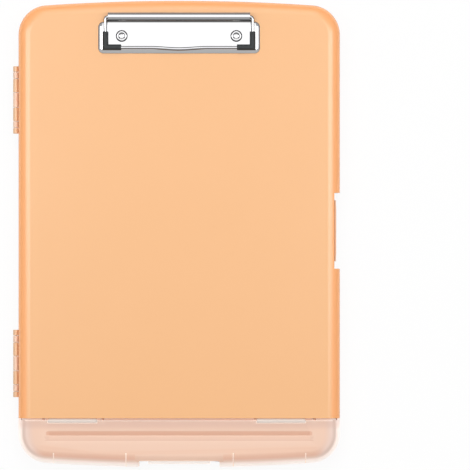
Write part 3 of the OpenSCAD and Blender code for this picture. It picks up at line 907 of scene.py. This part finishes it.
def make_pen_lid(plan):
    lid, hollow = lid_forms("pen_lid_shell", plan, FROSTED, PEN_LID_T)
    rib_plan = stadium(CHANNEL_HALF + CHANNEL_RIB, CHANNEL_W / 2 + CHANNEL_RIB, CHANNEL_Y)
    rib_z = CASE_H - PEN_LID_T - CHANNEL_RIB_DEEP
    cut(hollow, finger_notch(WALL), column("rib", rib_plan, rib_z, CASE_H, FROSTED))
    groove_plan = stadium(CHANNEL_HALF, CHANNEL_W / 2, CHANNEL_Y)
    slope = (CHANNEL_W - CHANNEL_FLOOR) / 2
    groove = rounded_solid("groove", groove_plan, FROSTED, 0.0, CASE_H + PAST, CASE_H - CHANNEL_DEEP,
                           slope, CHANNEL_DEEP, 1)
    rear = across("rear", PEN_AXIS.y + REAR_REACH, HALF_L)
    post_front = PEN_AXIS.y - PEN_KNUCKLE_R - KNUCKLE_GAP
    post_top = PEN_AXIS.z + POST_HEAD_R + POST_ROOM
    rooms = hinge_rooms(PEN_AXIS.y - WEB_REACH, post_front, KNUCKLE_GAP, post_top)
    slits = []
    for side in (-1, 1):
        for end in (-1, 1):
            x = side * (HALF_W - SNAP_FROM_SIDE) + end * SLIT_PITCH / 2 + SNAP_SHIFT
            low = (x - SLIT_W / 2, -HALF_L - PAST, -PAST)
            slits.append(block("slit", low, (x + SLIT_W / 2, -HALF_L + SLIT_L, CASE_H + PAST)))
    cut(lid, hollow, rear, finger_notch(0), groove, *rooms, *slits)
    return with_inset(soften(lid, SOFT_EDGE, FROSTED_EDGE))


def with_inset(piece):
    """Notes at every point how far inside the case's plan it lies; the finger notch counts as far inside."""
    insets = []
    for point in piece.data.vertices:
        x, y, z = point.co
        in_notch = abs(x) < FINGER_NOTCH_W / 2 + NOTCH_MARGIN and y < 0
        insets.append(HALF_W if in_notch else inset_at(x, y))
    note(piece.data, "inset", insets)
    return piece


def make_pen_knuckles():
    """The two grey hinge bars, with a thin fin behind each."""
    lines = []
    fins = []
    fin_z = PEN_AXIS.z + FIN_LOW
    for side in (-1, 1):
        middle = side * PEN_KNUCKLE_X + PEN_BAR_SHIFTS[side]
        low_x = middle - PEN_BAR_L / 2
        high_x = middle + PEN_BAR_L / 2
        lines.append(rod((low_x, PEN_AXIS.y, PEN_AXIS.z), (high_x, PEN_AXIS.y, PEN_AXIS.z), PEN_KNUCKLE_R))
        fins.append(block("fin", (low_x + SOFT_EDGE, PEN_AXIS.y + PAST, fin_z),
                          (high_x - SOFT_EDGE, SEAM_Y - FLANGE_GAP, fin_z + FIN_T), FROSTED_BAR))
    knuckles = rods("pen_lid_knuckles", lines, FROSTED_BAR)
    soften(knuckles, PEN_BAR_EDGE, angle=50, segments=1)
    return joined("pen_lid_knuckles", [knuckles] + fins)


def make_rear_flanges(plan):
    """The pen lid's low rear edge, which runs on towards the main lid beside and between the hinges."""
    rim = LID_BOTTOM + FLANGE_RIM
    flanges = rounded_solid("pen_lid_flanges", plan, FROSTED, 0.0, rim, CASE_H, *LID_ROUNDING)
    hollow = rounded_solid("hollow", plan, FROSTED, WALL, rim - PAST, PEN_AXIS.z - FLANGE_DOWN)
    front = across("front", -HALF_L - PAST, PEN_AXIS.y)
    rear = across("rear", SEAM_Y - FLANGE_GAP, HALF_L + PAST)
    top = across("top", -HALF_L, HALF_L, PEN_AXIS.z + FLANGE_UP)
    cut(flanges, hollow, front, rear, top, *hinge_rooms(-HALF_L, -HALF_L, FLANGE_GAP, CASE_H + PAST))
    return with_inset(soften(flanges, FINE_EDGE, FROSTED_EDGE))


def make_lift_lip():
    edge_y = -HALF_L + FINGER_NOTCH_D
    low = (-LIP_W / 2, edge_y - LIP_REACH, LID_BOTTOM)
    high = (LIP_W / 2, edge_y + BITE, LID_BOTTOM + LIP_T)
    return soften(block("pen_lid_lip", low, high, FROSTED_CLEAR), FINE_EDGE, FROSTED_EDGE)


def make_posts():
    """Four posts on the tray that hold the pen lid's pins."""
    half = POST_T / 2
    front = -POST_HEAD_R
    rear = SEAM_Y - PEN_AXIS.y
    low = TRAY_TOP - PAST
    top = PEN_AXIS.z
    foot = block("foot", (-half, front, PLATE_T - BITE), (half, rear + BITE, TRAY_TOP - BITE), FROSTED_POST)
    stem = block("stem", (-half, front, low), (half, -front, top), FROSTED_POST)
    heel = block("heel", (-half, 0, low), (half, rear - SEAM_GAP, top - HEEL_DOWN), FROSTED_POST)
    head = rods("head", [rod((-half, 0, top), (half, 0, top), POST_HEAD_R, FINE_EDGE)], FROSTED_POST)
    form = soften(joined("post", [foot, stem, heel, head]), THIN_EDGE, segments=1)
    points = [(x, PEN_AXIS.y, 0) for side in (-1, 1) for x in post_places(side)]
    return copies("pen_hinge_posts", points, form, FROSTED_POST)


def copies(name, points, form, material):
    piece = grow(piece_of(name, mesh_of(name, points)), COPIES, {"Form": form}, material)
    bpy.data.objects.remove(form)
    return piece


def make_latch_flap():
    """A thin upright flap whose outer face curves away towards its ends, on a barrel."""
    inner_x = LATCH_HIGH.x - LATCH_T
    end_x = inner_x + LATCH_END_T
    low_y = LATCH_LOW.y
    high_y = LATCH_HIGH.y
    bulge = LATCH_T - LATCH_END_T
    bend = [(LATCH_TAPER * t, end_x + bulge * sin(t * pi / 2)) for t in spread(0, 1, TAPER_STEPS)]
    outer = [(x, low_y + along) for along, x in bend] + [(x, high_y - along) for along, x in reversed(bend)]
    plan = [(inner_x, low_y)] + outer + [(inner_x, high_y)]
    foot_z = LATCH_AXIS.z - LATCH_BARREL_R + LATCH_FOOT_UP
    flap = column("flap", plan, foot_z, LATCH_HIGH.z, PEACH_FLAP)
    web = block("web", (LATCH_AXIS.x, low_y, foot_z), (end_x, high_y, foot_z + LATCH_T), PEACH_FLAP)
    ledge_z = LATCH_HIGH.z - LEDGE_DOWN
    ledge = block("ledge", (RECESS_X + LEDGE_GAP, low_y + LATCH_TAPER / 2, ledge_z - LATCH_T),
                  (end_x, high_y - LATCH_TAPER / 2, ledge_z), PEACH_FLAP)
    bead_x = RECESS_X + LATCH_BEAD_GAP + LATCH_BEAD_R
    lines = [
        rod((LATCH_AXIS.x, low_y, LATCH_AXIS.z), (LATCH_AXIS.x, high_y, LATCH_AXIS.z), LATCH_BARREL_R),
        rod((bead_x, low_y, BEAD_Z), (bead_x, high_y, BEAD_Z), LATCH_BEAD_R, FINE_EDGE),
    ]
    bars = rods("bars", lines, PEACH_FLAP, LATCH_SIDES)
    return soften(joined("latch_flap_moulding", [flap, web, ledge, bars]), SMALL_EDGE, PEACH_FLAP)


# ---------- the clip
def rounded_rectangle(half_w, y_low, y_high, radius, steps=12):
    """A plan with round corners, counter-clockwise."""
    x = half_w - radius
    low = y_low + radius
    high = y_high - radius
    quarter = pi / 2
    plan = []
    for turn, middle in enumerate([(x, high), (-x, high), (-x, low), (x, low)]):
        plan += around(*middle, radius, turn * quarter, (turn + 1) * quarter, steps)
    return plan


def rolled_edge():
    """Section (y, z) of the plate's upper edge: flat, a cove, then the roll. With its half widths."""
    cove = COVE_R + SHEET_T / 2
    roll = ROLL_R - SHEET_T / 2
    level = PLATE_TOP - SHEET_T / 2
    cove_z = level + cove
    lean = asin((BAIL_AXIS.z - cove_z) / (cove + roll))
    cove_y = BAIL_AXIS.y - (cove + roll) * cos(lean)
    start = ROLL_Y - PLATE_BORDER
    quarter = pi / 2
    line = [(start - LEAD_L, level - LEAD_DIP), (start, level)]
    line += around(cove_y, cove_z, cove, -quarter, lean, COVE_STEPS)
    line += around(BAIL_AXIS.y, BAIL_AXIS.z, roll, pi + lean, lean - 1.5 * quarter, ROLL_STEPS)[1:]
    back = ROLL_STEPS - TAB_STEPS
    return line, [ROLL_HALF + ROLL_TAB] * (len(line) - back) + [ROLL_HALF] * back


def thick_line(line, thickness):
    """The outline of a sheet whose middle follows a line of (y, z)."""
    points = [Vector(point) for point in line]
    sides = [[], []]
    for i, point in enumerate(points):
        along = (points[min(i + 1, len(points) - 1)] - points[max(i - 1, 0)]).normalized()
        across_it = Vector((-along.y, along.x)) * thickness / 2
        sides[0].append(point + across_it)
        sides[1].append(point - across_it)
    return sides[0], sides[1]


def sheet(name, line, halves, thickness, material):
    """A bent sheet, as wide at each point of its line as halves says to both sides."""
    upper, lower = thick_line(line, thickness)
    count = len(upper)
    points = []
    for end in (-1, 1):
        for side in (upper, lower):
            points += [(end * half, p.x, p.y) for half, p in zip(halves, side)]
    faces = []
    for ul in range(count - 1):
        ll = ul + count
        ur = ll + count
        lr = ur + count
        faces += [(ul, ul + 1, ur + 1, ur), (ll, lr, lr + 1, ll + 1)]
        faces += [(ul, ll, ll + 1, ul + 1), (ur, ur + 1, lr + 1, lr)]
    faces += [(0, 2 * count, 3 * count, count), (count - 1, 2 * count - 1, 4 * count - 1, 3 * count - 1)]
    return reshape(piece_of(name, mesh_of(name, points, faces=faces), material), close)


def make_clip_plate():
    """The stamped plate with its sloping border, and the rolled edge above it."""
    plan = rounded_rectangle(CLIP_HALF_W, ROLL_Y - PLATE_L, ROLL_Y, PLATE_CORNER_R)
    height = PLATE_TOP - CASE_H - PLATE_RIM
    rounding = (PLATE_BORDER / cos(BORDER_START), height / (1 - sin(BORDER_START)), BORDER_STEPS)
    plate = rounded_solid("plate", plan, CLIP_NICKEL, 0.0, CASE_H, PLATE_TOP, *rounding, BORDER_START)
    soften(plate, PLATE_EDGE, angle=30)
    edge = sheet("edge", *rolled_edge(), SHEET_T, CLIP_NICKEL)
    soften(edge, THIN_EDGE, angle=35)
    return joined("clip_plate_stamping", [plate, edge])


def bar_y_at(x):
    """The long bar's place: lower than its corners past the sleeves, and lower still in the middle."""
    near = max(0.0, 1 - abs(x) / BAR_DIP_HALF)
    past_corner = min(1.0, (LEG_X - abs(x)) / SLEEVE_L)
    return BAR_Y - BAR_DIP * near * near * (3 - 2 * near) - BAR_SAG * past_corner


def make_wire():
    """The bail, a closed ring: its pivot inside the roll, two bends, two legs and the long bar."""
    bend = around(ROLL_HALF, BAIL_AXIS.y - WIRE_BEND_R, WIRE_BEND_R, pi / 2, 0, BEND_STEPS)
    half = [(0, BAIL_AXIS.y)] + bend + [(x, bar_y_at(x)) for x in spread(LEG_X, 0, BAR_STEPS)]
    line = half + [(-x, y) for x, y in reversed(half[1:-1])]
    wire = loop_of("bail_wire", line, BAIL_AXIS.z)
    note(wire.data, "radius", [WIRE_R] * len(line))
    return reshape(smooth(grow(wire, ROUND_ROD, {"Sides": WIRE_SIDES}, WIRE_NICKEL)), close)


def make_sleeve(name, side):
    """A square-cornered sleeve: two round arms that meet in a mitre, pressed flat below."""
    turns = spread(0, 2 * pi, SLEEVE_SIDES)[:-1]
    arm = [
        (SLEEVE_L, WIRE_R + SLEEVE_FIT), (SLEEVE_L, SLEEVE_R - FINE_EDGE),
        (SLEEVE_L - FINE_EDGE, SLEEVE_R), (SLEEVE_L / 2, SLEEVE_R),
    ]
    points = []
    for along, radius in arm:
        points += [(-side * along, -radius * cos(t), radius * sin(t)) for t in turns]
    mitre = [(SLEEVE_R * cos(t), SLEEVE_R * sin(t)) for t in turns]
    points += [(side * x, -x, z) for x, z in mitre]
    for along, radius in reversed(arm):
        points += [(side * radius * cos(t), along, radius * sin(t)) for t in turns]
    corner = Vector((side * LEG_X, BAR_Y, BAIL_AXIS.z))
    lowest = PLATE_TOP + SLEEVE_GAP - BAIL_AXIS.z
    points = [corner + Vector((x, y, max(z, lowest))) for x, y, z in points]
    faces = tube_faces(len(points) // SLEEVE_SIDES, SLEEVE_SIDES)
    sleeve = piece_of(name, mesh_of(name, points, faces=faces), RUBBER)
    return soften(reshape(sleeve, close), SMALL_EDGE, angle=40)


def make_rivets():
    """Two tubular rivets with rolled heads, and their spread tails under the lid."""
    top_z = PLATE_TOP + RIVET_HEAD_T
    dish_z = top_z - RIVET_DISH_DEEP
    low_z = corner_of("clip_rivets", 0).z
    tail_z = low_z + RIVET_TAIL_T
    profile = [
        (RIVET_HOLE_R, low_z), (RIVET_TAIL_R - RIVET_TAIL_EDGE, low_z),
        (RIVET_TAIL_R, low_z + RIVET_TAIL_EDGE), (RIVET_TAIL_R, tail_z),
        (RIVET_SHANK_R, tail_z), (RIVET_SHANK_R, PLATE_TOP), (RIVET_HEAD_R, PLATE_TOP),
        (RIVET_HEAD_R - 0.75 * RIVET_SKIRT, top_z - RIVET_SKIRT_DROP), (RIVET_HEAD_R - RIVET_SKIRT, top_z),
        (RIVET_DISH_R, top_z), (RIVET_DISH_R - RIVET_DISH_SLOPE, dish_z), (RIVET_HOLE_R, dish_z),
    ]
    form = soften(turned("rivet", profile, CHROME), RIVET_EDGE, angle=20, segments=3)
    return copies("tubular_rivets", [(-RIVET_X, RIVET_Y, 0), (RIVET_X, RIVET_Y, 0)], form, CHROME)


# ---------- the studio
def make_floor():
    """A pale floor that shows white, with the case's faint shadow on it."""
    low = (-FLOOR_HALF, -FLOOR_HALF, -FLOOR_T)
    floor = block("floor", low, (FLOOR_HALF, FLOOR_HALF, -FLOOR_DOWN))
    finish = Finish("studio_floor", Roughness=0.9, Base_Color=grey(0.9))
    ray = finish.node("ShaderNodeLightPath")
    seen = finish.output(ray, "Is Camera Ray") + finish.output(ray, "Is Glossy Ray")
    seen = (seen + finish.output(ray, "Is Transmission Ray")).clamped()
    white = finish.node("ShaderNodeEmission", {"Color": grey(1), "Strength": 1.0})
    shader = Term(finish, finish.shader.outputs[0])
    mix = finish.node("ShaderNodeMixShader", {0: seen * 0.92, 1: shader, 2: white})
    output = finish.nodes.nodes["Material Output"]
    finish.nodes.links.new(mix.socket, output.inputs["Surface"])
    floor.data.materials.append(finish.material)


def make_world():
    """A studio: bright overhead and beyond the clip, grey at the sides, dark near the floor."""
    world = bpy.data.worlds.new("studio")
    world.use_nodes = True
    bpy.context.scene.world = world
    tree = Tree(world.node_tree)
    x, y, z = tree.split(tree.node("ShaderNodeTexCoord"))
    degrees = 180 / pi
    tilt_x = tree.maths("ARCTAN2", tree.maths("ABSOLUTE", x), z) * degrees
    tilt_y = tree.maths("ARCTAN2", y, z) * degrees
    overhead = tilt_y.rise(-10, 0) * (1 - tilt_y.rise(50, 60)) * (1 - tilt_x.rise(8, 24))
    height = z.rise(0.28, 0.48) * (1 - 0.65 * tilt_y.rise(60, 72))
    level = 0.08 + 0.35 * height + 0.95 * overhead
    seen = tree.output(tree.node("ShaderNodeLightPath"), "Is Camera Ray")
    strength = level * (1 - seen) + seen
    background = world.node_tree.nodes["Background"]
    background.inputs["Color"].default_value = grey(1)
    world.node_tree.links.new(strength.socket, background.inputs["Strength"])


def add_lamp(name, place, aim, size, power, mirrored=True):
    """A soft lamp; only a mirrored one shows in the metal."""
    lamp = bpy.data.lights.new(name, "AREA")
    lamp.shape = "RECTANGLE"
    lamp.size = size[0]
    lamp.size_y = size[1]
    lamp.energy = power
    holder = piece_of(name, lamp)
    holder.visible_glossy = mirrored
    holder.location = place
    holder.rotation_euler = (Vector(aim) - Vector(place)).to_track_quat("-Z", "Y").to_euler()


def make_lights():
    add_lamp("key", (0.0, 1.0, 1.3), (0, 0.1, 0), (0.9, 0.6), 7, False)
    for side, name in ((-1, "left"), (1, "right")):
        add_lamp("strip_" + name, (side * 0.95, 0.2, 2.0), (0, 0, 0), (0.6, 1.2), 8.5)
        add_lamp("fill_" + name, (side * 1.6, 0, 0.36), (0, 0, 0), (0.3, 1.2), 2.5, False)
    add_lamp("fill_near", (0, -1.6, 0.36), (0, 0, 0), (0.3, 1.2), 2, False)


def make_camera():
    """Straight above, far enough away for the upright walls to stay hidden."""
    camera = bpy.data.cameras.new("camera")
    camera.lens = LENS
    camera.sensor_width = SENSOR
    camera.clip_start = 0.05
    camera.clip_end = 50
    holder = piece_of("camera", camera)
    holder.location = (VIEW_X, VIEW_Y, CASE_H + FRAME_W * LENS / SENSOR)
    bpy.context.scene.camera = holder


# ---------- assembly
def put(body, slot, node, *pieces):
    """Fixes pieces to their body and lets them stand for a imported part."""
    for piece in pieces:
        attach(piece, body)
        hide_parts(node)


ROUNDED_SOLID = rounded_solid_tree()
ROUND_ROD = round_rod_tree()
HINGE_KNUCKLES = hinge_tree()
COPIES = copies_tree()

PEACH = peach_finish("peach_polypropylene", srgb(254, 180, 120), srgb(252, 178, 117), 0.25)
# painted light and shade: the main lid's flat top is a duller copy of the peach, and its rounded edge a
# deeper one
PEACH_LID = peach_finish(
    "peach_main_lid", srgb(241, 181, 123), srgb(239, 179, 120), 0.25, srgb(255, 178, 117))
PEACH_WORN = peach_finish("peach_worn_edges", srgb(255, 192, 138), srgb(252, 187, 131), 0.22)
# painted light and shade: the lid's knuckles, the tray's knuckles and the latch are duller and paler copies
# of the same peach plastic
PEACH_SOFT = peach_finish("peach_lid_knuckles", srgb(234, 189, 147), srgb(229, 182, 140), 0.32)
PEACH_PALE = peach_finish("peach_base_knuckles", srgb(240, 203, 177), srgb(235, 197, 171), 0.36)
PEACH_FLAP = peach_finish("peach_latch", srgb(240, 189, 148), srgb(235, 183, 141), 0.32)
FROSTED = frosted_finish()
# painted glow: the frosted edges and the lip carry a faint emission that brightens them
FROSTED_EDGE = frosted_trim_finish(
    "frosted_edges", srgb(255, 250, 242), srgb(253, 242, 230), srgb(255, 240, 226), 0.25, 0.88, 0.34, 0.08)
FROSTED_CLEAR = frosted_trim_finish(
    "frosted_lip", srgb(255, 252, 248), srgb(250, 246, 240), srgb(255, 250, 244), 0.2, 0.4, 0.4, 0.06)
FROSTED_POST = peach_finish("pen_hinge_posts", srgb(246, 206, 184), srgb(242, 200, 178), 0.4)
FROSTED_BAR = peach_finish("frosted_hinge_bars", srgb(226, 214, 205), srgb(220, 206, 196), 0.4)
NICKEL = ((0.78, 0.78, 0.79, 1), (0.73, 0.73, 0.745, 1), 0.07, (1, 8, 8))
CHROME = metal_finish("bright_nickel", *NICKEL)
CLIP_NICKEL = clip_finish()
WIRE_NICKEL = wire_finish()
STEEL = metal_finish("drawn_steel", (0.62, 0.62, 0.64, 1), (0.5, 0.5, 0.52, 1), 0.28, (1, 12, 12))
RUBBER = rubber_finish()

make_camera()
case_plan = plan_of_case()
tray_arms = (TRAY_ARM_UP - HINGE_R, -SEAM_GAP / 2)
lid_arms = (SEAM_GAP / 2, LID_ARM_T)

put("base", "peach_plastic", "base_tray", make_tray(case_plan), make_tongue(case_plan),
    make_knuckles("tray_knuckles", 1, *tray_arms, PEACH_PALE), make_posts())
put("lid", "peach_plastic", "main_lid", make_main_lid(case_plan),
    make_knuckles("lid_knuckles", 0, *lid_arms, PEACH_SOFT))
put("pen_lid", "frosted_plastic", "pen_lid", make_pen_lid(case_plan), make_pen_knuckles(),
    make_rear_flanges(case_plan), make_lift_lip())
put("latch", "peach_plastic", "latch_flap", make_latch_flap())
put("lid", "chrome", "clip_plate", make_clip_plate())
put("bail", "chrome", "clip_wire", make_wire())
put("bail", "black_rubber", "left_grip_sleeve", make_sleeve("left_sleeve", -1))
put("bail", "black_rubber", "right_grip_sleeve", make_sleeve("right_sleeve", 1))
put("lid", "chrome", "clip_rivets", make_rivets())

pen_pins = ("left_pen_hinge_pin", "right_pen_hinge_pin")
for node in ("upper_hinge_pin", "lower_hinge_pin", "latch_pin", *pen_pins, "rivet_washers"):
    frame["nodes"][node].data.materials.clear()
    frame["nodes"][node].data.materials.append(STEEL)

make_floor()
make_world()
make_lights()
bpy.context.scene.view_settings.view_transform = "Standard"
